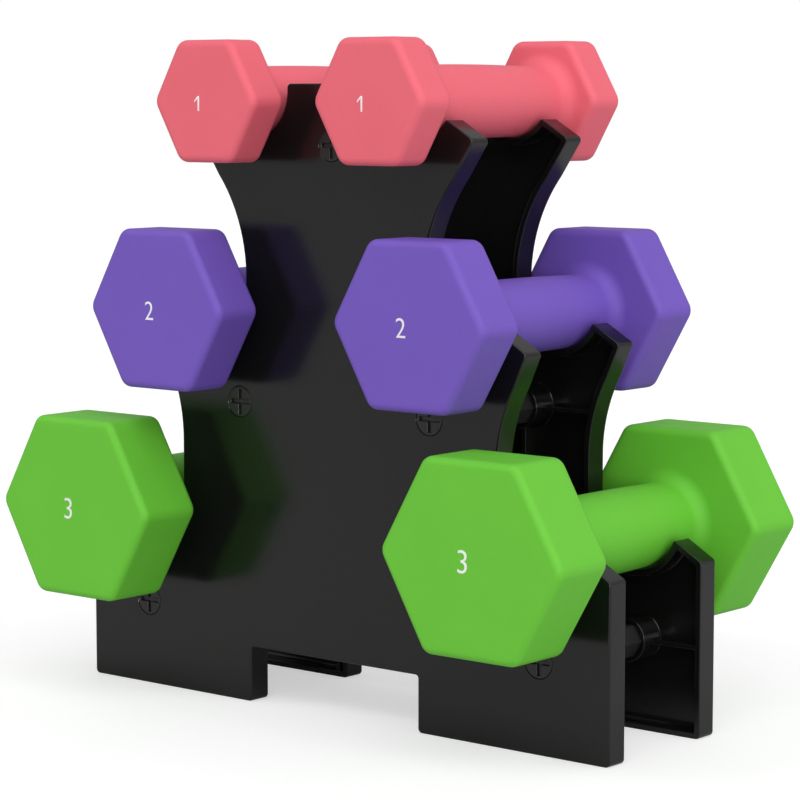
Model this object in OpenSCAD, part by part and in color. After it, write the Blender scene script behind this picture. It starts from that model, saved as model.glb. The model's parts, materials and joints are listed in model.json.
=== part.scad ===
// Dumbbell rack with three pairs of hexagonal dumbbells.
// Two tray-shaped side panels are tied together by five hexagonal cross bars.
// X is the width, Y the depth (the front is -Y), Z is up. Origin: centre of the footprint.

/* [Rack] */
// Depth over the outer faces of both panels
rack_depth = 80; // [66:0.5:100]
// Height of the flat top above the seats of the small dumbbells
cap_height = 24.7; // [14:0.1:60]
// Depth of the flange around each panel
flange_depth = 11.5; // [8:0.1:20]
// Thickness of the flange wall
wall = 2.8; // [2:0.1:4]
// Thickness of the flat web
web = 2.6; // [2:0.1:4]
// Width of the gap between the two feet
notch_w = 100.6; // [60:0.1:130]
// Height of the gap between the two feet
notch_h = 26.1; // [10:0.1:30]

/* [Cradles] */
// Distance between the two small dumbbells, centre to centre
top_span = 96.4; // [80:0.1:130]
// How much further out a medium dumbbell lies than a small one
mid_step = 26.6; // [21:0.1:32]
// How much further out a large dumbbell lies than a medium one
low_step = 42.9; // [35:0.1:52]
// Height of the seats under the large dumbbells
low_seat = 72.1; // [62:0.1:90]
// Gap between the sloping faces of a small head and the medium head below it
mid_gap = 6.3; // [3:0.1:12]
// Gap between the sloping faces of a medium head and the large head below it
low_gap = 5.4; // [3:0.1:12]
// How much larger a cradle's radius is than the grip it holds
cradle_room = 5.2; // [3:0.1:9]
// Gap between a resting grip and its seat
seat_gap = 0.3; // [0.2:0.05:1]
// Reach of the small horn beyond the dumbbell's axis
top_horn = 32.9; // [28:0.1:36]
// Reach of the medium horn beyond the dumbbell's axis
mid_horn = 35.2; // [32:0.1:40]
// Reach of the large horn beyond the dumbbell's axis
low_horn = 37; // [33:0.1:42]
// Rise of the small horn's crest above its seat
top_rise = 8.6; // [5:0.1:10]
// Rise of the medium horn's crest above its seat
mid_rise = 12.9; // [8:0.1:14]
// Rise of the large horn's crest above its seat
low_rise = 15.2; // [10:0.1:16]
// Flat width of a horn's crest
crest = 0.9; // [0.5:0.1:4]
// Slope of a horn's top, down from the crest
horn_slope = 30.3; // [20:0.1:40]
// Lean of the edge below the small horn
top_lean = 34; // [30:0.5:38]
// Lean of the edge below the medium horn
mid_lean = 24; // [22:0.5:30]
// Radius of the waist between two tiers
waist_r = 75; // [60:1:90]

/* [Cross bars and screws] */
// Drop of the top cross bar below the small seats
top_bar_drop = 3; // [0:0.1:20]
// How far the middle cross bars lie inside the medium seats
mid_bar_in = 18.1; // [8:0.1:28]
// Drop of the middle cross bars below the medium seats
mid_bar_drop = 26.8; // [20:0.1:45]
// How far the low cross bars lie inside the large seats
low_bar_in = 0.4; // [0:0.1:26]
// Drop of the low cross bars below the large seats
low_bar_drop = 31.3; // [22:0.1:45]
// Size of the hexagonal bars across the flats
bar_af = 14.2; // [11.8:0.02:17.1]
// Clearance of a bar's corners in its socket, on the diameter
bar_fit = 0.2; // [0.1:0.05:0.6]
// Wall of the boss around a bar
boss_wall = 1.9; // [1.5:0.1:3]
// Height of a boss, from the panel's outer face
boss_h = 15; // [13:0.1:22]
// Depth of a boss's floor, from the panel's outer face
boss_floor = 5.6; // [4.6:0.1:7]
// Thickness of the ribs inside a panel
rib = 2; // [1.2:0.1:3]
// How far a rib stays below the flange's rim
rib_drop = 0.4; // [0.2:0.1:2]
// Diameter of a screw's head
head_d = 14.3; // [10:0.1:16]
// Thickness of a screw's head
head_t = 2.4; // [1.8:0.1:3]
// Clearance around a screw's head, on the diameter
head_fit = 0.5; // [0.2:0.05:0.8]
// Diameter of a screw's shank
shank_d = 4.2; // [3:0.1:6]
// Length of a screw under its head
screw_len = 19; // [12:0.5:25]
// Clearance around a screw's shank, on the diameter
shank_fit = 0.2; // [0.1:0.05:0.5]
// Span of the cross recess in a screw's head
cross_span = 11.6; // [7:0.1:13]
// Width of the cross recess
cross_w = 1.9; // [1:0.1:2.5]
// Depth of the cross recess
cross_d = 1.3; // [0.8:0.1:1.6]

/* [Dumbbells] */
// Small head, across the flats
small_af = 55; // [50:0.1:58]
// Small head, thickness
small_t = 21; // [14:0.1:26]
// Small grip, length between the heads
small_grip = 102.8; // [101:0.1:125]
// Small grip, diameter at its middle
small_d = 32.8; // [28:0.1:36]
// Medium head, across the flats
medium_af = 73.4; // [65:0.1:76]
// Medium head, thickness
medium_t = 26.4; // [18:0.1:32]
// Medium grip, length between the heads
medium_grip = 103.8; // [101:0.1:130]
// Medium grip, diameter at its middle
medium_d = 33.8; // [30:0.1:38]
// Large head, across the flats
large_af = 84.3; // [70:0.1:102]
// Large head, thickness
large_t = 34; // [24:0.1:41]
// Large grip, length between the heads
large_grip = 111.8; // [101:0.1:135]
// Large grip, diameter at its middle
large_d = 37.4; // [31:0.1:45]
// How much thinner a grip is at its ends than at its middle, on the radius
barrel = 0.9; // [0.3:0.1:2]
// Radius of the flare where a grip meets a head
flare = 6.5; // [2:0.1:7]
// Thickness of the vinyl coat over the iron core
coat = 2.4; // [1:0.1:3]
// Chamfer along a head's edges
head_edge = 2.6; // [1:0.1:4]

/* [Hidden] */
$fn = 96;
eps = 0.01;
TIERS = [0, 1, 2];

horn = [top_horn, mid_horn, low_horn];
rise = [top_rise, mid_rise, low_rise];
lean = [top_lean, mid_lean];
head_af = [small_af, medium_af, large_af];
head_thick = [small_t, medium_t, large_t];
grip_len = [small_grip, medium_grip, large_grip];
grip_d = [small_d, medium_d, large_d];

// Tiers: a dumbbell lifts out along the sloping faces of its head, so the gap to the next tier's
// head is measured square to them
lift = 60;
function tier_drop(i, step, gap) = ((head_af[i] + head_af[i + 1]) / 2 + gap - step * sin(lift)) / cos(lift);
low_axis = low_seat + seat_gap + large_d / 2;
mid_axis = low_axis + tier_drop(1, low_step, low_gap);
top_axis = mid_axis + tier_drop(0, mid_step, mid_gap);
axis_z = [top_axis, mid_axis, low_axis];
seat_x = [top_span / 2, top_span / 2 + mid_step, top_span / 2 + mid_step + low_step];
seat = [for (i = TIERS) axis_z[i] - grip_d[i] / 2 - seat_gap];
rack_height = seat[0] + cap_height;

// Cradles: the arc's radius and centre, and the two corners of the horn beside it
arc_r = [for (i = TIERS) grip_d[i] / 2 + cradle_room];
arc_z = [for (i = TIERS) seat[i] + arc_r[i]];
inner_x = [for (i = TIERS) seat_x[i] - arc_r[i]];
crest_z = [for (i = TIERS) seat[i] + rise[i]];
crest_x = [for (i = TIERS) seat_x[i] + sqrt(pow(arc_r[i], 2) - pow(arc_z[i] - crest_z[i], 2)) + crest];
corner_x = [for (i = TIERS) seat_x[i] + horn[i]];
corner_z = [for (i = TIERS) crest_z[i] - (corner_x[i] - crest_x[i]) * tan(horn_slope)];

// Waists: a disc above the wall of each lower cradle, met at a small angle by the edge below the horn
waist_meet = 5;
waist_x = [for (i = [0, 1]) inner_x[i + 1] + waist_r];
waist_z = [for (i = [0, 1]) max(arc_z[i + 1],
    corner_z[i] - (waist_r * cos(waist_meet) - (waist_x[i] - corner_x[i]) * cos(lean[i])) / sin(lean[i]))];
function below_horn(i) = [-sin(lean[i]), -cos(lean[i])];
// The point of the edge below horn i that lies nearest to the centre of waist i
function waist_foot(i) =
    let (corner = [corner_x[i], corner_z[i]], dir = below_horn(i))
    corner + dir * (([waist_x[i], waist_z[i]] - corner) * dir);

// Right half of a panel's outline without its arcs, from the top down
half_outline = [
    [seat_x[0], rack_height],
    [seat_x[0], crest_z[0]], [crest_x[0], crest_z[0]], [corner_x[0], corner_z[0]],
    waist_foot(0), [seat_x[1], waist_z[0]],
    [seat_x[1], crest_z[1]], [crest_x[1], crest_z[1]], [corner_x[1], corner_z[1]],
    waist_foot(1), [seat_x[2], waist_z[1]],
    [seat_x[2], crest_z[2]], [crest_x[2], crest_z[2]], [corner_x[2], corner_z[2]],
    [corner_x[2], 0], [notch_w / 2, 0], [notch_w / 2, notch_h]
];
half_count = len(half_outline);
full_outline = concat(half_outline,
    [for (k = [half_count - 1:-1:0]) [-half_outline[k].x, half_outline[k].y]]);

// A clockwise polygon with every edge moved inwards by d
function unit(v) = v / norm(v);
function inward(v) = [v.y, -v.x];
function cross2(a, b) = a.x * b.y - a.y * b.x;
function inset_corner(a, b, c, d) =
    let (u = unit(b - a), v = unit(c - b), turn = cross2(u, v))
    abs(turn) < eps / 10 ? b + inward(u) * d : b + (v - u) * (d / turn) * -1;
function inset_path(p, d) =
    let (n = len(p))
    [for (k = [0:n - 1]) inset_corner(p[(k + n - 1) % n], p[k], p[(k + 1) % n], d)];

// Cross bars
bar_r = bar_af / sqrt(3);
socket_d = 2 * bar_r + bar_fit;
boss_d = socket_d + 2 * boss_wall;
mid_bar = [seat_x[1] - mid_bar_in, seat[1] - mid_bar_drop];
low_bar = [seat_x[2] - low_bar_in, seat[2] - low_bar_drop];
bar_places = [
    [0, seat[0] - top_bar_drop], [-mid_bar.x, mid_bar.y], mid_bar, [-low_bar.x, low_bar.y], low_bar
];
pilot_depth = head_t + screw_len - boss_floor + 1;

panel_black = [0.13, 0.13, 0.14];
bar_grey = [0.22, 0.22, 0.23];
screw_black = [0.08, 0.08, 0.09];
iron_grey = [0.35, 0.35, 0.36];
vinyl = [[0.92, 0.42, 0.48], [0.47, 0.37, 0.73], [0.43, 0.77, 0.27]];

// A flat shape in X and Z, made solid between two depths measured from the front face
module between(y0, y1) {
    translate([0, y1 - rack_depth / 2, 0]) rotate([90, 0, 0]) linear_extrude(y1 - y0) children();
}

// What is cut away on the right: the cradles' arcs, open upwards, and the waists' discs above the lower two
module cut_arcs(d) {
    open_to = [max(rack_height, arc_z[0]) + 1, waist_z[0], waist_z[1]];
    for (i = TIERS) {
        translate([seat_x[i], arc_z[i]]) circle(arc_r[i] + d);
        translate([inner_x[i] - d, arc_z[i]]) square([arc_r[i] + d, open_to[i] - arc_z[i]]);
    }
    for (i = [0, 1]) {
        intersection() {
            translate([waist_x[i], waist_z[i]]) circle(waist_r + d, $fn = 240);
            translate([0, arc_z[i + 1]]) square([waist_x[i] + waist_r, 2 * waist_r]);
        }
    }
}

// A panel's outline, moved inwards by d
module outline(d) {
    difference() {
        polygon(inset_path(full_outline, d));
        cut_arcs(d);
        mirror([1, 0]) cut_arcs(d);
    }
}

// Ribs from the bosses to the flange, on the right
module ribs_right() {
    for (place = [mid_bar, low_bar])
        translate([place.x, place.y - rib / 2]) square([corner_x[2], rib]);
    translate([mid_bar.x - rib / 2, 0]) square([rib, mid_bar.y]);
}

module ribs() {
    intersection() {
        outline(wall / 2);
        union() {
            ribs_right();
            mirror([1, 0]) ribs_right();
        }
    }
}

module discs(d) {
    for (p = bar_places) translate(p) circle(d / 2);
}

// The front panel; the rear one is its mirror image
module panel() {
    difference() {
        union() {
            difference() {
                between(0, flange_depth) outline(0);
                between(web, flange_depth + 1) outline(wall);
            }
            between(web / 2, flange_depth - rib_drop) ribs();
            between(web / 2, boss_h) discs(boss_d);
        }
        between(boss_floor, boss_h + 1) discs(socket_d);
        between(-1, head_t) discs(head_d + head_fit);
        between(head_t - eps, boss_floor + eps) discs(shank_d + shank_fit);
    }
}

// A hexagonal bar between the floors of two facing bosses, with a pilot bore in each end
module bar(place) {
    length = rack_depth - 2 * boss_floor;
    translate([place.x, 0, place.y]) rotate([90, 0, 0]) difference() {
        cylinder(h = length, r = bar_r, center = true, $fn = 6);
        for (side = [0, 1]) mirror([0, 0, side])
            translate([0, 0, length / 2 - pilot_depth])
                cylinder(h = pilot_depth + 1, d = shank_d + shank_fit);
    }
}

// A screw through the front panel, its head flush with the outer face
module screw(place) {
    translate([place.x, -rack_depth / 2, place.y]) rotate([-90, 0, 0]) {
        difference() {
            cylinder(h = head_t, d = head_d);
            for (turn = [0, 90]) rotate([0, 0, turn])
                translate([-cross_span / 2, -cross_w / 2, -1]) cube([cross_span, cross_w, cross_d + 1]);
        }
        translate([0, 0, head_t - eps]) cylinder(h = screw_len + eps, d = shank_d);
    }
}

module screws() {
    for (place = bar_places) screw(place);
}

// One head of a dumbbell, from z = 0 up, with chamfered edges; skin is taken off all round
module head(i, skin) {
    r = (head_af[i] / 2 - skin) / cos(30);
    t = head_thick[i] - 2 * skin;
    edge = head_edge;
    translate([0, 0, skin]) {
        cylinder(h = edge, r1 = r - edge / cos(30), r2 = r, $fn = 6);
        translate([0, 0, edge]) cylinder(h = t - 2 * edge, r = r, $fn = 6);
        translate([0, 0, t - edge]) cylinder(h = edge, r1 = r, r2 = r - edge / cos(30), $fn = 6);
    }
}

// Half of the grip's profile, from its middle out into the head; skin is taken off all round
module grip_profile(i, skin) {
    half = grip_len[i] / 2;
    r = grip_d[i] / 2;
    bulge_r = (pow(half, 2) + pow(barrel, 2)) / (2 * barrel);
    end_r = r - barrel;
    intersection() {
        translate([r - bulge_r, 0]) circle(bulge_r - skin, $fn = 720);
        square([r, half + skin + head_edge]);
    }
    difference() {
        translate([0, half - flare]) square([end_r + flare, flare + skin]);
        translate([end_r + flare, half - flare]) circle(flare + skin);
        translate([0, half - flare - 1]) square([end_r - skin - 1, flare + skin + 2]);
    }
}

// A whole dumbbell, its axis on Z
module dumbbell(i, skin) {
    for (side = [0, 1]) mirror([0, 0, side]) {
        translate([0, 0, grip_len[i] / 2]) head(i, skin);
        rotate_extrude() grip_profile(i, skin);
    }
}

module place_dumbbell(i, side) {
    translate([side * seat_x[i], 0, axis_z[i]]) rotate([90, 0, 0]) children();
}

module core(i, side) {
    color(iron_grey) place_dumbbell(i, side) dumbbell(i, coat);
}

module coat_of(i, side) {
    color(vinyl[i]) place_dumbbell(i, side) difference() {
        dumbbell(i, 0);
        dumbbell(i, coat);
    }
}

module front_panel() { color(panel_black) panel(); }
module rear_panel() { color(panel_black) mirror([0, 1, 0]) panel(); }
module top_bar() { color(bar_grey) bar(bar_places[0]); }
module mid_left_bar() { color(bar_grey) bar(bar_places[1]); }
module mid_right_bar() { color(bar_grey) bar(bar_places[2]); }
module low_left_bar() { color(bar_grey) bar(bar_places[3]); }
module low_right_bar() { color(bar_grey) bar(bar_places[4]); }
module front_screws() { color(screw_black) screws(); }
module rear_screws() { color(screw_black) mirror([0, 1, 0]) screws(); }

front_panel();
rear_panel();
top_bar();
mid_left_bar();
mid_right_bar();
low_left_bar();
low_right_bar();
front_screws();
rear_screws();
core(0, -1);  // small_left_core
coat_of(0, -1);  // small_left_coat
core(0, 1);  // small_right_core
coat_of(0, 1);  // small_right_coat
core(1, -1);  // medium_left_core
coat_of(1, -1);  // medium_left_coat
core(1, 1);  // medium_right_core
coat_of(1, 1);  // medium_right_coat
core(2, -1);  // large_left_core
coat_of(2, -1);  // large_left_coat
core(2, 1);  // large_right_core
coat_of(2, 1);  // large_right_coat
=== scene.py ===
"""The looks of a dumbbell rack: two moulded panels, five bars, ten screws and three pairs of dumbbells."""
import json
import math

import bmesh
import bpy
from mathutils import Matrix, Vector

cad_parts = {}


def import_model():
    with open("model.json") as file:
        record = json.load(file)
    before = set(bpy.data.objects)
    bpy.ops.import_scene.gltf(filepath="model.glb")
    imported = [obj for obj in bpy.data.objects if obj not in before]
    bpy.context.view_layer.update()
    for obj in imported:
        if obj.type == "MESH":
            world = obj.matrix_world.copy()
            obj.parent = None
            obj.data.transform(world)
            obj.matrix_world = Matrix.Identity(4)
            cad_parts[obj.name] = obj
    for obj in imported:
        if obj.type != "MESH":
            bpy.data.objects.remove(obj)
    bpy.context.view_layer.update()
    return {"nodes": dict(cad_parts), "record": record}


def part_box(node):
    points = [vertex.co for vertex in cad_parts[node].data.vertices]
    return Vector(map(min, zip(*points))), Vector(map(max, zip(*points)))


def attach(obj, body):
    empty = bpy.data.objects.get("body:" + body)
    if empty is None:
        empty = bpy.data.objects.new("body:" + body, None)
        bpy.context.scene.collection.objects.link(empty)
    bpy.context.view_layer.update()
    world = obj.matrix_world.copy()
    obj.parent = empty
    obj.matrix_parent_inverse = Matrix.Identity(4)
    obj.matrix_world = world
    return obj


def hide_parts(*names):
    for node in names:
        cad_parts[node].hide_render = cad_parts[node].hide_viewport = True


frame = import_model()

# ------------------------------------------------------------------ sizes, in millimetres
MM = 0.001
SIDES = ("left", "right")
TIERS = ("small", "medium", "large")
BARS = ("top_bar", "mid_left_bar", "mid_right_bar", "low_left_bar", "low_right_bar")


def box_mm(node):
    """A CAD node's lowest and highest corner, in millimetres."""
    low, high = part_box(node)
    return low / MM, high / MM


# The panels
panel_low, panel_high = box_mm("front_panel")
RACK_HEIGHT = panel_high.z
RACK_FACE = -panel_low.y
BOSS_H = panel_high.y - panel_low.y
FLANGE_DEPTH = 11.5
WALL = 2.8
WEB = 2.6
NOTCH = (50.3, 26.1)
CREST = 0.9
HORN_SLOPE = math.radians(30.3)
HORN_REACH = (32.9, 35.2, 37.0)
HORN_RISE = (8.6, 12.9, 15.2)
HORN_LEAN = (math.radians(34), math.radians(24))
CRADLE_ROOM = 5.2
WAIST_R = 75.0
WAIST_MEET = math.radians(5)

# Roundings of a moulded panel
CORNER_R = 2.2
PLATEAU_R = 2.0
NOTCH_R = 1.6
EDGE_R = 0.8
RIM_R = 0.45
FILLET_R = 1.2
STRIP = 0.25
LEAST_R = 0.4

# Bosses, ribs and screws
BOSS_WALL = 1.9
BOSS_FLOOR = 5.6
BAR_FIT = 0.2
BOSS_RIM_R = 0.45
BOSS_FOOT_R = 1.0
RIB = 2.0
RIB_DROP = 0.4
RIB_CREST_R = 0.4
BOSS_SINK = 0.2
CUT_SPARE = 1.0
HEAD_D = 14.3
HEAD_T = 2.4
HEAD_FIT = 0.5
SHANK_D = 4.2
SHANK_FIT = 0.2
HOLE_LIP = 0.15
SCREW_LEN = 19.0
CROSS = (11.6, 1.9, 1.3)
CROSS_R = 0.35
SCREW_LIP = 0.25
SCREW_UNDER = 0.2
TIP_LEN = 1.2
TIP_TAPER = 0.8
BAR_EDGE_R = 0.5
BAR_CORNER_R = 0.8

# The dumbbells
HEAD_T_OF = (21.0, 26.4, 34.0)
GRIP_D = (32.8, 33.8, 37.4)
BARREL = 0.9
FLARE = 6.5
HEAD_EDGE_R = 3.4
HEAD_CORNER_R = 6.5
HEAD_STRIP = 1.0
NUMBER_SIZE = 0.17
CAP_SHARE = 0.72
PRINT_T = 0.12
NUMBER_SHIFT = (-2.6, -1.0)

ROUND_STEPS = 6
ARC_STEPS = 40
GRIP_STEPS = 14
HEAD_ROUND_STEPS = 8
HEAD_LINE_STEPS = 12

# Angles above which an edge stays sharp, in degrees
SHARP = 35
SHARP_PANEL = 21
SHARP_HEAD = 60


# ------------------------------------------------------------------ flat outlines of lines and arcs
# An outline is walked with the solid on its left. Arcs are hollow: the solid lies outside their circle.
def line(start, end):
    start, end = Vector(start), Vector(end)
    return ("line", start, (end - start).normalized())


def arc(centre, radius):
    return ("arc", Vector(centre), radius)


def left_of(heading):
    return Vector((-heading.y, heading.x))


def shift(edge, inset):
    """The edge moved into the solid."""
    kind, place, value = edge
    if kind == "line":
        return ("line", place + left_of(value) * inset, value)
    return ("arc", place, value + inset)


def foot(edge, point):
    """The point of the edge that lies nearest to another point."""
    kind, place, value = edge
    if kind == "line":
        return place + value * (point - place).dot(value)
    return place + (point - place).normalized() * value


def meet(a, b, near):
    """Where two edges cross, nearest to a point."""
    if a[0] == "arc":
        a, b = b, a
    _, start, heading = a
    if b[0] == "line":
        cross = heading.x * b[2].y - heading.y * b[2].x
        gap = b[1] - start
        return start + heading * ((gap.x * b[2].y - gap.y * b[2].x) / cross)
    middle = foot(a, b[1])
    half = math.sqrt(max(0.0, b[2] ** 2 - (middle - b[1]).length_squared))
    return min((middle + heading * half, middle - heading * half), key=lambda p: (p - near).length)


def turn(centre, start, end, steps, clockwise):
    """Points on a circle from start to end."""
    radius = (start - centre).length
    first = math.atan2(start.y - centre.y, start.x - centre.x)
    last = math.atan2(end.y - centre.y, end.x - centre.x)
    full = 2 * math.pi
    sweep = -((first - last) % full) if clockwise else (last - first) % full
    return [
        centre + Vector((math.cos(first + sweep * k / steps), math.sin(first + sweep * k / steps))) * radius
        for k in range(steps + 1)
    ]


def rounded(a, b, near, radius, inset):
    """The points of one corner. A positive radius is a solid corner, a negative one a hollow corner."""
    if radius == 0:
        return [meet(a, b, near)]
    side = max(radius - inset, LEAST_R) if radius > 0 else radius - inset
    inward = left_of(a[2] if a[0] == "line" else b[2])
    centre = meet(shift(a, side), shift(b, side), near + inward * side)
    return turn(centre, foot(a, centre), foot(b, centre), ROUND_STEPS, radius < 0)


def trace(edges, corners, inset=0.0, closed=True, line_steps=1):
    """The points of an outline, moved into the solid. Corner k lies between edge k and the next one."""
    edges = [shift(edge, inset) for edge in edges]
    turns = [
        rounded(edges[k], edges[(k + 1) % len(edges)], Vector(near), radius, inset)
        for k, (near, radius) in enumerate(corners)
    ]
    path = []
    for k, points in enumerate(turns):
        if k > 0 or closed:
            start, end = turns[k - 1][-1], points[0]
            if edges[k][0] == "arc":
                path += turn(edges[k][1], start, end, ARC_STEPS, True)[1:-1]
            else:
                path += [start.lerp(end, s / line_steps) for s in range(1, line_steps)]
        path += points
    return path


def polygon(points, radius):
    """Edges and corners of a closed polygon, walked anticlockwise, with every corner rounded."""
    count = len(points)
    edges = [line(points[k - 1], points[k]) for k in range(count)]
    corners = []
    for k, point in enumerate(points):
        a, b = edges[k][2], edges[(k + 1) % count][2]
        corners.append((point, radius if a.x * b.y - a.y * b.x > 0 else -radius))
    return edges, corners


def quarter(radius, steps=5):
    """Pairs of sine and cosine shares of a quarter round, each taken off the radius."""
    angles = [math.pi / 2 * k / steps for k in range(steps + 1)]
    return [(radius * (1 - math.sin(a)), radius * (1 - math.cos(a))) for a in angles]


# ------------------------------------------------------------------ meshes
def loft(rings):
    """Corners and faces of a closed skin over rings of points, capped at both ends."""
    count = len(rings[0])
    faces = []
    for k in range(len(rings) - 1):
        for i in range(count):
            j = (i + 1) % count
            faces.append((k * count + i, k * count + j, (k + 1) * count + j, (k + 1) * count + i))
    last = (len(rings) - 1) * count
    faces.append(tuple(reversed(range(count))))
    faces.append(tuple(last + i for i in range(count)))
    return [point for ring in rings for point in ring], faces


def make(name, parts, material=None):
    """One object from several skins given in millimetres, with clean outward faces."""
    mesh = bpy.data.meshes.new(name)
    corners, faces = [], []
    for points, skin in parts:
        base = len(corners)
        corners += [Vector(p) * MM for p in points]
        faces += [tuple(base + i for i in face) for face in skin]
    mesh.from_pydata(corners, [], faces)
    tidy(mesh)
    obj = bpy.data.objects.new(name, mesh)
    bpy.context.scene.collection.objects.link(obj)
    if material:
        mesh.materials.append(material)
    return obj


def tidy(mesh, merge=1e-6):
    """Merges meeting corners and turns the faces outwards."""
    work = bmesh.new()
    work.from_mesh(mesh)
    bmesh.ops.remove_doubles(work, verts=work.verts, dist=merge)
    bmesh.ops.dissolve_degenerate(work, edges=work.edges, dist=merge)
    bmesh.ops.recalc_face_normals(work, faces=work.faces)
    work.to_mesh(mesh)
    work.free()
    mesh.update()


def smooth(obj, sharp_above=SHARP):
    """Smooth shading, with the edges above an angle kept sharp."""
    obj.data.shade_smooth()
    obj.data.set_sharp_from_angle(angle=math.radians(sharp_above))


def combine(obj, operation, tools):
    """Joins the tools to the object or cuts them from it, and removes them."""
    for tool in tools:
        step = obj.modifiers.new(tool.name, "BOOLEAN")
        step.operation = operation
        step.solver = "EXACT"
        step.object = tool
    bpy.context.view_layer.update()
    made = bpy.data.meshes.new_from_object(obj.evaluated_get(bpy.context.evaluated_depsgraph_get()))
    obj.modifiers.clear()
    obj.data = made
    for tool in tools:
        bpy.data.objects.remove(tool)
    tidy(made)


def circle(centre, radius, depth, steps=64):
    """A ring of points round an axis along Y."""
    return [
        (
            centre[0] + radius * math.cos(2 * math.pi * k / steps),
            depth,
            centre[1] + radius * math.sin(2 * math.pi * k / steps),
        )
        for k in range(steps)
    ]


def lathe(centre, profile, steps=64):
    """A skin turned round an axis along Y, from pairs of radius and depth."""
    return loft([circle(centre, radius, depth, steps) for radius, depth in profile])


def at_depth(path, depth):
    return [(p.x, depth, p.y) for p in path]


# ------------------------------------------------------------------ a panel
def mount_of(tier):
    """Half the span and the height of a tier's seats."""
    place = next(m["pos_m"] for m in frame["record"]["mounts"] if m["name"] == f"{tier}_right_cradle")
    return place[0] / MM, place[2] / MM


seats = [mount_of(tier) for tier in TIERS]


def panel_edges():
    """The right half of a panel's outline, from the middle of the notch up to the flat top."""
    arc_r = [GRIP_D[i] / 2 + CRADLE_ROOM for i in range(3)]
    arc_z = [seats[i][1] + arc_r[i] for i in range(3)]
    crest_z = [seats[i][1] + HORN_RISE[i] for i in range(3)]
    crest_x = [
        seats[i][0] + math.sqrt(arc_r[i] ** 2 - (arc_z[i] - crest_z[i]) ** 2) + CREST for i in range(3)
    ]
    tip_x = [seats[i][0] + HORN_REACH[i] for i in range(3)]
    tip_z = [crest_z[i] - (tip_x[i] - crest_x[i]) * math.tan(HORN_SLOPE) for i in range(3)]

    edges = [line((0, NOTCH[1]), NOTCH), line(NOTCH, (NOTCH[0], 0)), line((NOTCH[0], 0), (tip_x[2], 0))]
    corners = [(NOTCH, -NOTCH_R), ((NOTCH[0], 0), CORNER_R), ((tip_x[2], 0), CORNER_R)]
    edges.append(line((tip_x[2], 0), (tip_x[2], tip_z[2])))
    for i in (2, 1, 0):
        crest = (crest_x[i], crest_z[i])
        slope = line((tip_x[i], tip_z[i]), crest)
        cradle = arc((seats[i][0], arc_z[i]), arc_r[i])
        corners += [((tip_x[i], tip_z[i]), CORNER_R), (crest, crest_round(slope, cradle, Vector(crest)))]
        edges += [slope, cradle]
        wall_x = seats[i][0] - arc_r[i]
        corners.append(((wall_x, arc_z[i]), 0))
        if i == 0:
            break
        lean = HORN_LEAN[i - 1]
        waist_x = wall_x + WAIST_R
        reach = WAIST_R * math.cos(WAIST_MEET) - (waist_x - tip_x[i - 1]) * math.cos(lean)
        waist_z = max(arc_z[i], tip_z[i - 1] - reach / math.sin(lean))
        upward = Vector((math.sin(lean), math.cos(lean)))
        tip = Vector((tip_x[i - 1], tip_z[i - 1]))
        waist = arc((waist_x, waist_z), WAIST_R)
        under = ("line", tip, upward)
        edges += [line((wall_x, arc_z[i]), (wall_x, waist_z + 1)), waist, under]
        leave = foot(under, waist[1]) + upward * WAIST_R * math.sin(WAIST_MEET)
        corners += [((wall_x, waist_z), 0), (leave, 0)]
    edges.append(line((wall_x, arc_z[0]), (wall_x, RACK_HEIGHT + 1)))
    edges.append(("line", Vector((0, RACK_HEIGHT)), Vector((-1, 0))))
    corners.append(((wall_x, RACK_HEIGHT), PLATEAU_R))
    return edges, corners


def crest_round(slope, cradle, crest):
    """The radius whose round, between a horn's slope and its cradle, just reaches the crest's height."""
    low, high = LEAST_R, 6.0
    for _ in range(40):
        radius = (low + high) / 2
        inward = left_of(slope[2]) * radius
        centre = meet(shift(slope, radius), shift(cradle, radius), crest + inward)
        low, high = (radius, high) if centre.y + radius > crest.y else (low, radius)
    return radius


def panel_loop(edges, corners, inset):
    right = trace(edges, corners, inset, closed=False)
    return right + [Vector((-p.x, p.y)) for p in reversed(right)]


def panel_profile():
    """Pairs of inset and depth over a panel's section: outer face, flange, rim and web."""
    pairs = [(EDGE_R + STRIP, 0.0)]
    pairs += quarter(EDGE_R)
    pairs += [(0.0, EDGE_R + STRIP), (0.0, FLANGE_DEPTH - RIM_R - STRIP)]
    pairs += [(a, FLANGE_DEPTH - b) for b, a in quarter(RIM_R)]
    pairs += [(RIM_R + STRIP, FLANGE_DEPTH), (WALL - RIM_R - STRIP, FLANGE_DEPTH)]
    pairs += [(WALL - a, FLANGE_DEPTH - b) for a, b in quarter(RIM_R)]
    pairs += [(WALL, FLANGE_DEPTH - RIM_R - STRIP), (WALL, WEB + FILLET_R + STRIP)]
    pairs += [(WALL + a, WEB + b) for b, a in quarter(FILLET_R)]
    pairs += [(WALL + FILLET_R + STRIP, WEB)]
    return pairs


def bar_place(node):
    low, high = box_mm(node)
    return (low.x + high.x) / 2, (low.z + high.z) / 2


bar_places = [bar_place(node) for node in BARS]
bar_low, bar_high = box_mm("top_bar")
BAR_R = (bar_high.x - bar_low.x) / 2
SOCKET_R = BAR_R + BAR_FIT / 2
BOSS_R = SOCKET_R + BOSS_WALL


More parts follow.
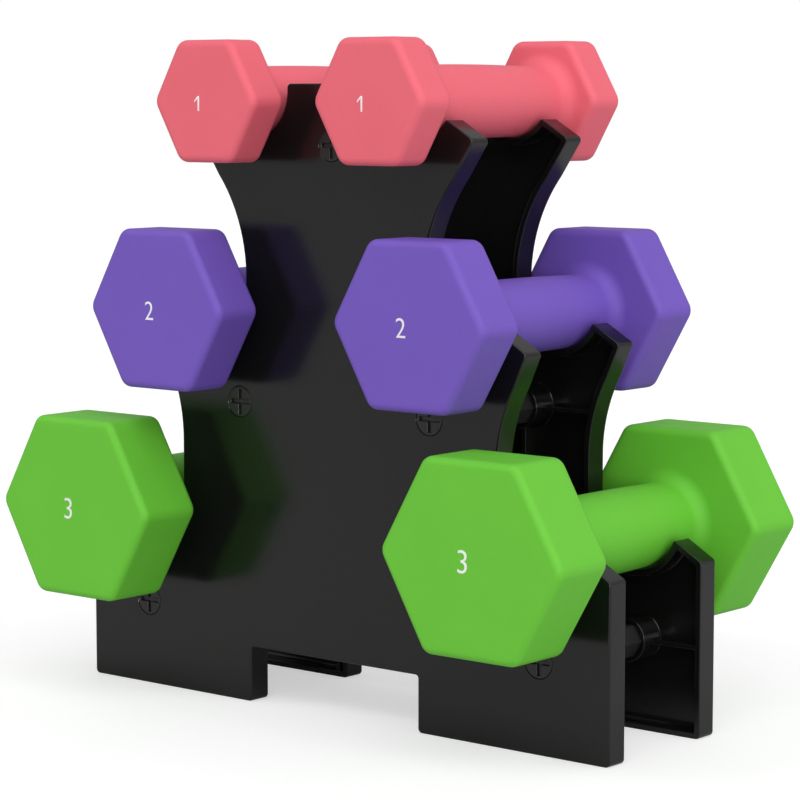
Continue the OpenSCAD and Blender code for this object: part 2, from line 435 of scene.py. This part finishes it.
def boss(place):
    profile = [(BOSS_R + BOSS_FOOT_R, WEB / 2)]
    profile += [(BOSS_R + a, WEB - BOSS_SINK + b) for a, b in quarter(BOSS_FOOT_R)]
    profile += [(BOSS_R, BOSS_H - BOSS_RIM_R - STRIP)]
    profile += [(BOSS_R - a, BOSS_H - b) for b, a in quarter(BOSS_RIM_R)]
    profile += [(SOCKET_R + a, BOSS_H - b) for a, b in quarter(BOSS_RIM_R)]
    profile += [(SOCKET_R, BOSS_H - BOSS_RIM_R - STRIP), (SOCKET_R, BOSS_FLOOR)]
    return lathe(place, profile)


def rib(start, end):
    """A rib between two points, with a rounded crest."""
    start, end = Vector(start), Vector(end)
    along = (end - start).normalized()
    across = left_of(along)
    top = FLANGE_DEPTH - RIB_DROP
    half = RIB / 2
    section = [(-half, WEB / 2), (half, WEB / 2)]
    section += [(half - a, top - b) for b, a in quarter(RIB_CREST_R)]
    section += [(-half + a, top - b) for a, b in quarter(RIB_CREST_R)]
    rings = []
    for place in (start, end):
        ring = []
        for side, depth in section:
            flat = place + across * side
            ring.append((flat.x, depth, flat.y))
        rings.append(ring)
    return loft(rings)


def flange_reach(loop, height):
    """How far to the right a loop reaches at a height."""
    found = []
    for a, b in zip(loop, loop[1:] + loop[:1]):
        if (a.y - height) * (b.y - height) < 0:
            found.append(a.x + (b.x - a.x) * (height - a.y) / (b.y - a.y))
    return max(found)


def hole(place):
    """What a screw's hole takes out of a panel."""
    bore = (HEAD_D + HEAD_FIT) / 2
    shank = (SHANK_D + SHANK_FIT) / 2
    profile = [(bore + HOLE_LIP, -CUT_SPARE), (bore + HOLE_LIP, 0.0), (bore, HOLE_LIP)]
    profile += [(bore, HEAD_T), (shank, HEAD_T), (shank, BOSS_FLOOR + CUT_SPARE)]
    return lathe(place, profile)


def panel_mesh():
    edges, corners = panel_edges()
    rings = [at_depth(panel_loop(edges, corners, inset), depth) for inset, depth in panel_profile()]
    shell = make("panel_shell", [loft(rings)])
    mid_wall = panel_loop(edges, corners, WALL / 2)
    ribs = []
    for x, z in bar_places[1:]:
        side = 1 if x > 0 else -1
        from_x = x + side * (SOCKET_R + BOSS_WALL / 2)
        ribs.append(rib((from_x, z), (side * flange_reach(mid_wall, z), z)))
    for x, z in bar_places[1:3]:
        ribs.append(rib((x, z - SOCKET_R - BOSS_WALL / 2), (x, WALL / 2)))
    added = [make(f"rib_{k}", [skin]) for k, skin in enumerate(ribs)]
    added += [make(f"boss_{k}", [boss(place)]) for k, place in enumerate(bar_places)]
    combine(shell, "UNION", added)
    combine(shell, "DIFFERENCE", [make(f"hole_{k}", [hole(place)]) for k, place in enumerate(bar_places)])
    return shell


def both_panels(material):
    """The front panel and its mirror image at the rear, both from one mesh."""
    shell = panel_mesh()
    for name, face in (("front", -1), ("rear", 1)):
        mesh = shell.data.copy()
        for corner in mesh.vertices:
            corner.co.y = face * (RACK_FACE * MM - corner.co.y)
        tidy(mesh)
        obj = bpy.data.objects.new(f"{name}_panel_moulding", mesh)
        bpy.context.scene.collection.objects.link(obj)
        mesh.materials.clear()
        mesh.materials.append(material)
        smooth(obj, SHARP_PANEL)
        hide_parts(f"{name}_panel")
        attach(obj, "rack")
    bpy.data.objects.remove(shell)


# ------------------------------------------------------------------ bars and screws
def hexagon(radius):
    angles = [math.radians(a) for a in range(0, 360, 60)]
    return [(radius * math.cos(a), radius * math.sin(a)) for a in angles]


def bars(material):
    for node, (x, z) in zip(BARS, bar_places):
        low, high = box_mm(node)
        edges, corners = polygon(hexagon(BAR_R), BAR_CORNER_R)
        rings = []
        stations = [(a, low.y + b) for a, b in quarter(BAR_EDGE_R)]
        stations += [(a, high.y - b) for b, a in quarter(BAR_EDGE_R)]
        for inset, depth in stations:
            path = trace(edges, corners, inset)
            rings.append([(x + p.x, depth, z + p.y) for p in path])
        obj = make(f"{node}_moulding", [loft(rings)], material)
        smooth(obj)
        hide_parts(node)
        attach(obj, "rack")


def cross_outline():
    reach, half = CROSS[0] / 2, CROSS[1] / 2
    arm = [(half, half), (half, reach), (-half, reach)]
    points = []
    for quarter_turn in range(4):
        for x, z in arm:
            for _ in range(quarter_turn):
                x, z = -z, x
            points.append((x, z))
    return polygon(points, CROSS_R)


def screw_mesh():
    """A flush screw with a cross recess, its head's face at depth 0."""
    head_r, shank_r = HEAD_D / 2, SHANK_D / 2
    tip = HEAD_T + SCREW_LEN
    profile = [(head_r - SCREW_LIP - STRIP, 0.0)]
    profile += [(head_r - a, b) for a, b in quarter(SCREW_LIP, 4)]
    profile += [(head_r, HEAD_T - SCREW_UNDER), (head_r - SCREW_UNDER, HEAD_T), (shank_r, HEAD_T)]
    profile += [(shank_r, tip - TIP_LEN), (shank_r - TIP_TAPER, tip)]
    screw = make("screw", [lathe((0, 0), profile)])
    edges, corners = cross_outline()
    stations = ((-0.25, -0.6), (-0.25, -0.01), (0.0, 0.25), (0.12, CROSS[2]))
    rings = [at_depth(trace(edges, corners, inset), depth) for inset, depth in stations]
    combine(screw, "DIFFERENCE", [make("recess", [loft(rings)])])
    return screw


def screws(material):
    """Five screws through each panel, joined as one piece a side."""
    one = screw_mesh()
    points = [v.co / MM for v in one.data.vertices]
    faces = [tuple(f.vertices) for f in one.data.polygons]
    bpy.data.objects.remove(one)
    for name, face in (("front", -1), ("rear", 1)):
        parts = [
            ([(x + p.x, face * (RACK_FACE - p.y), z + p.z) for p in points], faces) for x, z in bar_places
        ]
        obj = make(f"{name}_screws_detail", parts, material)
        smooth(obj)
        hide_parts(f"{name}_screws")
        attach(obj, "rack")


# ------------------------------------------------------------------ dumbbells
def grip_stations(tier, length):
    """Pairs of radius and place along half a grip, from its middle out to the head's inner face."""
    half = length / 2 - HEAD_T_OF[tier]
    r_mid = GRIP_D[tier] / 2
    bulge_r = (half**2 + BARREL**2) / (2 * BARREL)
    pairs = []
    for k in range(GRIP_STEPS + 1):
        along = (half - FLARE) * k / GRIP_STEPS
        pairs.append((r_mid - bulge_r + math.sqrt(bulge_r**2 - along**2), along))
    r_end = pairs[-1][0]
    for a, b in quarter(FLARE, HEAD_ROUND_STEPS)[1:]:
        pairs.append((r_end + b, half - a))
    pairs.append((r_end + FLARE + STRIP, half))
    return pairs


def dumbbell(tier, side_name, material):
    """The vinyl skin of one dumbbell. Returns its middle, its front face and its height."""
    name = f"{TIERS[tier]}_{side_name}"
    low, high = box_mm(f"{name}_coat")
    x, z = (low.x + high.x) / 2, (low.z + high.z) / 2
    apothem, length = (high.z - low.z) / 2, high.y - low.y
    edges, corners = polygon(hexagon(apothem / math.cos(math.radians(30))), HEAD_CORNER_R)

    def head_ring(inset, place):
        return at_depth(trace(edges, corners, inset, line_steps=HEAD_LINE_STEPS), place)

    outer, inner = length / 2, length / 2 - HEAD_T_OF[tier]
    count = len(head_ring(0, 0))
    first = -(ROUND_STEPS / 2 + HEAD_LINE_STEPS - 1) / count
    angles = [2 * math.pi * (first + k / count) for k in range(count)]
    rings = [
        [(radius * math.cos(a), place, radius * math.sin(a)) for a in angles]
        for radius, place in grip_stations(tier, length)
    ]
    rings.append(head_ring(HEAD_EDGE_R + HEAD_STRIP, inner))
    rings += [head_ring(a, inner + b) for a, b in quarter(HEAD_EDGE_R, HEAD_ROUND_STEPS)]
    rings.append(head_ring(0, inner + HEAD_EDGE_R + HEAD_STRIP))
    rings.append(head_ring(0, outer - HEAD_EDGE_R - HEAD_STRIP))
    rings += [head_ring(a, outer - b) for b, a in quarter(HEAD_EDGE_R, HEAD_ROUND_STEPS)]
    rings.append(head_ring(HEAD_EDGE_R + HEAD_STRIP, outer))
    mirrored = [[(p[0], -p[1], p[2]) for p in ring] for ring in reversed(rings[1:])]
    rings = mirrored + rings
    rings = [[(x + p[0], p[1], z + p[2]) for p in ring] for ring in rings]
    obj = make(f"{name}_vinyl", [loft(rings)], material)
    smooth(obj, SHARP_HEAD)
    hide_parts(f"{name}_coat")
    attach(obj, name)
    return x, low.y, z, 2 * apothem


def figure_one(height):
    """The outline of a plain 1 with a flag, centred on the origin, in the XY plane."""
    half, stem, flag = height / 2, 0.13 * height, 0.3 * height
    left = -stem / 2
    curve = bpy.data.curves.new("figure_one", "CURVE")
    curve.dimensions = "2D"
    curve.fill_mode = "BOTH"
    outline = [
        (left, -half),
        (left + stem, -half),
        (left + stem, half),
        (left, half),
        (left - flag, half - flag),
        (left - flag, half - flag - stem),
        (left, half - 1.3 * stem),
    ]
    spline = curve.splines.new("POLY")
    spline.points.add(len(outline) - 1)
    for point, (x, y) in zip(spline.points, outline):
        point.co = (x, y, 0, 1)
    spline.use_cyclic_u = True
    return curve


def numeral(tier, side_name, place, material):
    """A plain number for the weight, printed on the front face of a dumbbell."""
    name = f"{TIERS[tier]}_{side_name}_number"
    size = NUMBER_SIZE * place[3] * MM
    if tier == 0:
        curve = figure_one(CAP_SHARE * size)
    else:
        curve = bpy.data.curves.new(name, "FONT")
        curve.body = str(tier + 1)
        curve.size = size
        curve.offset = -0.1 * MM
        curve.align_x = "CENTER"
        curve.align_y = "CENTER"
        curve.resolution_u = 6
    curve.extrude = PRINT_T * MM
    text = bpy.data.objects.new(name + "_curve", curve)
    bpy.context.scene.collection.objects.link(text)
    bpy.context.view_layer.update()
    mesh = bpy.data.meshes.new_from_object(text.evaluated_get(bpy.context.evaluated_depsgraph_get()))
    bpy.data.objects.remove(text)
    for corner in mesh.vertices:
        across, up, out = corner.co
        corner.co = (
            (place[0] + NUMBER_SHIFT[0]) * MM + across,
            place[1] * MM - out,
            (place[2] + NUMBER_SHIFT[1]) * MM + up,
        )
    tidy(mesh)
    obj = bpy.data.objects.new(name, mesh)
    bpy.context.scene.collection.objects.link(obj)
    mesh.materials.clear()
    mesh.materials.append(material)
    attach(obj, f"{TIERS[tier]}_{side_name}")


# ------------------------------------------------------------------ materials
def surface(
    name, colour, roughness, roughness_spread, grain_mm, grain_height_mm, specular=0.5, tint=0.06
):
    """A moulded surface: fine grain, slow colour and gloss changes. Sizes are in millimetres."""
    made = bpy.data.materials.new(name)
    made.use_nodes = True
    nodes, links = made.node_tree.nodes, made.node_tree.links
    shader = nodes["Principled BSDF"]
    shader.inputs["Specular IOR Level"].default_value = specular
    place = nodes.new("ShaderNodeTexCoord").outputs["Object"]

    def noise(size_mm, detail):
        node = nodes.new("ShaderNodeTexNoise")
        node.inputs["Scale"].default_value = 1 / (size_mm * MM)
        node.inputs["Detail"].default_value = detail
        links.new(place, node.inputs["Vector"])
        return node.outputs["Fac"]

    slow = noise(45, 3)
    shade = nodes.new("ShaderNodeValToRGB")
    shade.color_ramp.elements[0].position = 0.3
    shade.color_ramp.elements[1].position = 0.7
    shade.color_ramp.elements[0].color = [c * (1 - tint) for c in colour] + [1]
    shade.color_ramp.elements[1].color = [min(1, c * (1 + tint)) for c in colour] + [1]
    links.new(slow, shade.inputs["Fac"])
    links.new(shade.outputs["Color"], shader.inputs["Base Color"])

    gloss = nodes.new("ShaderNodeMapRange")
    gloss.inputs["From Min"].default_value = 0.3
    gloss.inputs["From Max"].default_value = 0.7
    gloss.inputs["To Min"].default_value = roughness - roughness_spread
    gloss.inputs["To Max"].default_value = roughness + roughness_spread
    links.new(noise(9, 4), gloss.inputs["Value"])
    links.new(gloss.outputs["Result"], shader.inputs["Roughness"])

    bump = nodes.new("ShaderNodeBump")
    bump.inputs["Strength"].default_value = 1.0
    bump.inputs["Distance"].default_value = grain_height_mm * MM
    links.new(noise(grain_mm, 2), bump.inputs["Height"])
    links.new(bump.outputs["Normal"], shader.inputs["Normal"])
    return made


def paint_cad_nodes(material, nodes):
    for node in nodes:
        data = frame["nodes"][node].data
        data.materials.clear()
        data.materials.append(material)


black_plastic = surface("black_plastic", (0.006, 0.0058, 0.0057), 0.18, 0.025, 0.6, 0.0008, 0.45)
bar_plastic = surface("bar_plastic", (0.022, 0.022, 0.022), 0.42, 0.04, 0.5, 0.006)
screw_black = surface("screw_black", (0.012, 0.012, 0.012), 0.36, 0.04, 0.4, 0.004)
iron = surface("cast_iron", (0.12, 0.12, 0.12), 0.7, 0.08, 0.8, 0.05)
white_print = surface("white_print", (0.9, 0.9, 0.88), 0.5, 0.04, 0.4, 0.004)
vinyls = [
    surface("pink_vinyl", (0.83, 0.14, 0.185), 0.58, 0.04, 0.35, 0.012, 0.35, 0.02),
    surface("purple_vinyl", (0.17, 0.092, 0.5), 0.58, 0.04, 0.35, 0.012, 0.35, 0.02),
    surface("green_vinyl", (0.14, 0.55, 0.036), 0.58, 0.04, 0.35, 0.012, 0.35, 0.02),
]

both_panels(black_plastic)
bars(bar_plastic)
screws(screw_black)
for tier, vinyl in enumerate(vinyls):
    for side_name in SIDES:
        face = dumbbell(tier, side_name, vinyl)
        numeral(tier, side_name, face, white_print)
paint_cad_nodes(iron, [f"{tier}_{side}_core" for tier in TIERS for side in SIDES])


# ------------------------------------------------------------------ floor, light and camera
FLOOR_GLOW = 0.5


def floor():
    half = 6.0
    mesh = bpy.data.meshes.new("floor")
    corners = [(-half, -half, 0), (half, -half, 0), (half, half, 0), (-half, half, 0)]
    mesh.from_pydata(corners, [], [(0, 1, 2, 3)])
    obj = bpy.data.objects.new("floor", mesh)
    bpy.context.scene.collection.objects.link(obj)
    paint = surface("floor_paint", (0.62, 0.62, 0.62), 0.7, 0.02, 1.0, 0.002, 0.2, 0.005)
    nodes, links = paint.node_tree.nodes, paint.node_tree.links
    glow = nodes.new("ShaderNodeMath")
    glow.operation = "MULTIPLY"
    glow.inputs[1].default_value = FLOOR_GLOW
    links.new(nodes.new("ShaderNodeLightPath").outputs["Is Camera Ray"], glow.inputs[0])
    shader = nodes["Principled BSDF"]
    shader.inputs["Emission Color"].default_value = (1, 1, 1, 1)
    links.new(glow.outputs[0], shader.inputs["Emission Strength"])
    mesh.materials.append(paint)


def area_light(name, place, target, size, watts):
    light = bpy.data.lights.new(name, "AREA")
    light.size = size
    light.energy = watts
    obj = bpy.data.objects.new(name, light)
    obj.location = place
    obj.rotation_euler = (Vector(target) - Vector(place)).to_track_quat("-Z", "Y").to_euler()
    bpy.context.scene.collection.objects.link(obj)


def sun(name, place, strength, spread):
    light = bpy.data.lights.new(name, "SUN")
    light.energy = strength
    light.angle = math.radians(spread)
    obj = bpy.data.objects.new(name, light)
    obj.rotation_euler = (-Vector(place)).to_track_quat("-Z", "Y").to_euler()
    bpy.context.scene.collection.objects.link(obj)


def world(seen, cast):
    """A white surround for the camera and a dimmer one for the light it casts."""
    made = bpy.data.worlds.new("surround")
    bpy.context.scene.world = made
    made.use_nodes = True
    nodes, links = made.node_tree.nodes, made.node_tree.links
    nodes["Background"].inputs["Color"].default_value = (cast, cast, cast, 1)
    white = nodes.new("ShaderNodeBackground")
    white.inputs["Color"].default_value = (seen, seen, seen, 1)
    choose = nodes.new("ShaderNodeMixShader")
    links.new(nodes.new("ShaderNodeLightPath").outputs["Is Camera Ray"], choose.inputs[0])
    links.new(nodes["Background"].outputs[0], choose.inputs[1])
    links.new(white.outputs[0], choose.inputs[2])
    links.new(choose.outputs[0], nodes["World Output"].inputs["Surface"])


def camera():
    azimuth, elevation, distance = math.radians(39.7), math.radians(6.24), 1.279
    aim = Vector((0.0069, 0.0, 0.14306))
    back = Vector(
        (
            math.sin(azimuth) * math.cos(elevation),
            -math.cos(azimuth) * math.cos(elevation),
            math.sin(elevation),
        )
    )
    data = bpy.data.cameras.new("camera")
    data.sensor_width = 36
    data.lens = 124.65
    obj = bpy.data.objects.new("camera", data)
    obj.location = aim + back * distance
    obj.rotation_euler = (-back).to_track_quat("-Z", "Y").to_euler()
    bpy.context.scene.collection.objects.link(obj)
    bpy.context.scene.camera = obj


floor()
world(1.0, 0.5)
sun("key", (0.75, -0.7, 1.15), 1.25, 60)
sun("edge_light", (0.66, -0.75, 0.02), 0.8, 16)
sun("crest_light", (-0.45, -0.6, 0.75), 0.35, 12)
area_light("right_box", (1.6, 0.2, 0.9), (0, 0, 0.15), 1.2, 4)
camera()
bpy.context.scene.view_settings.view_transform = "Standard"
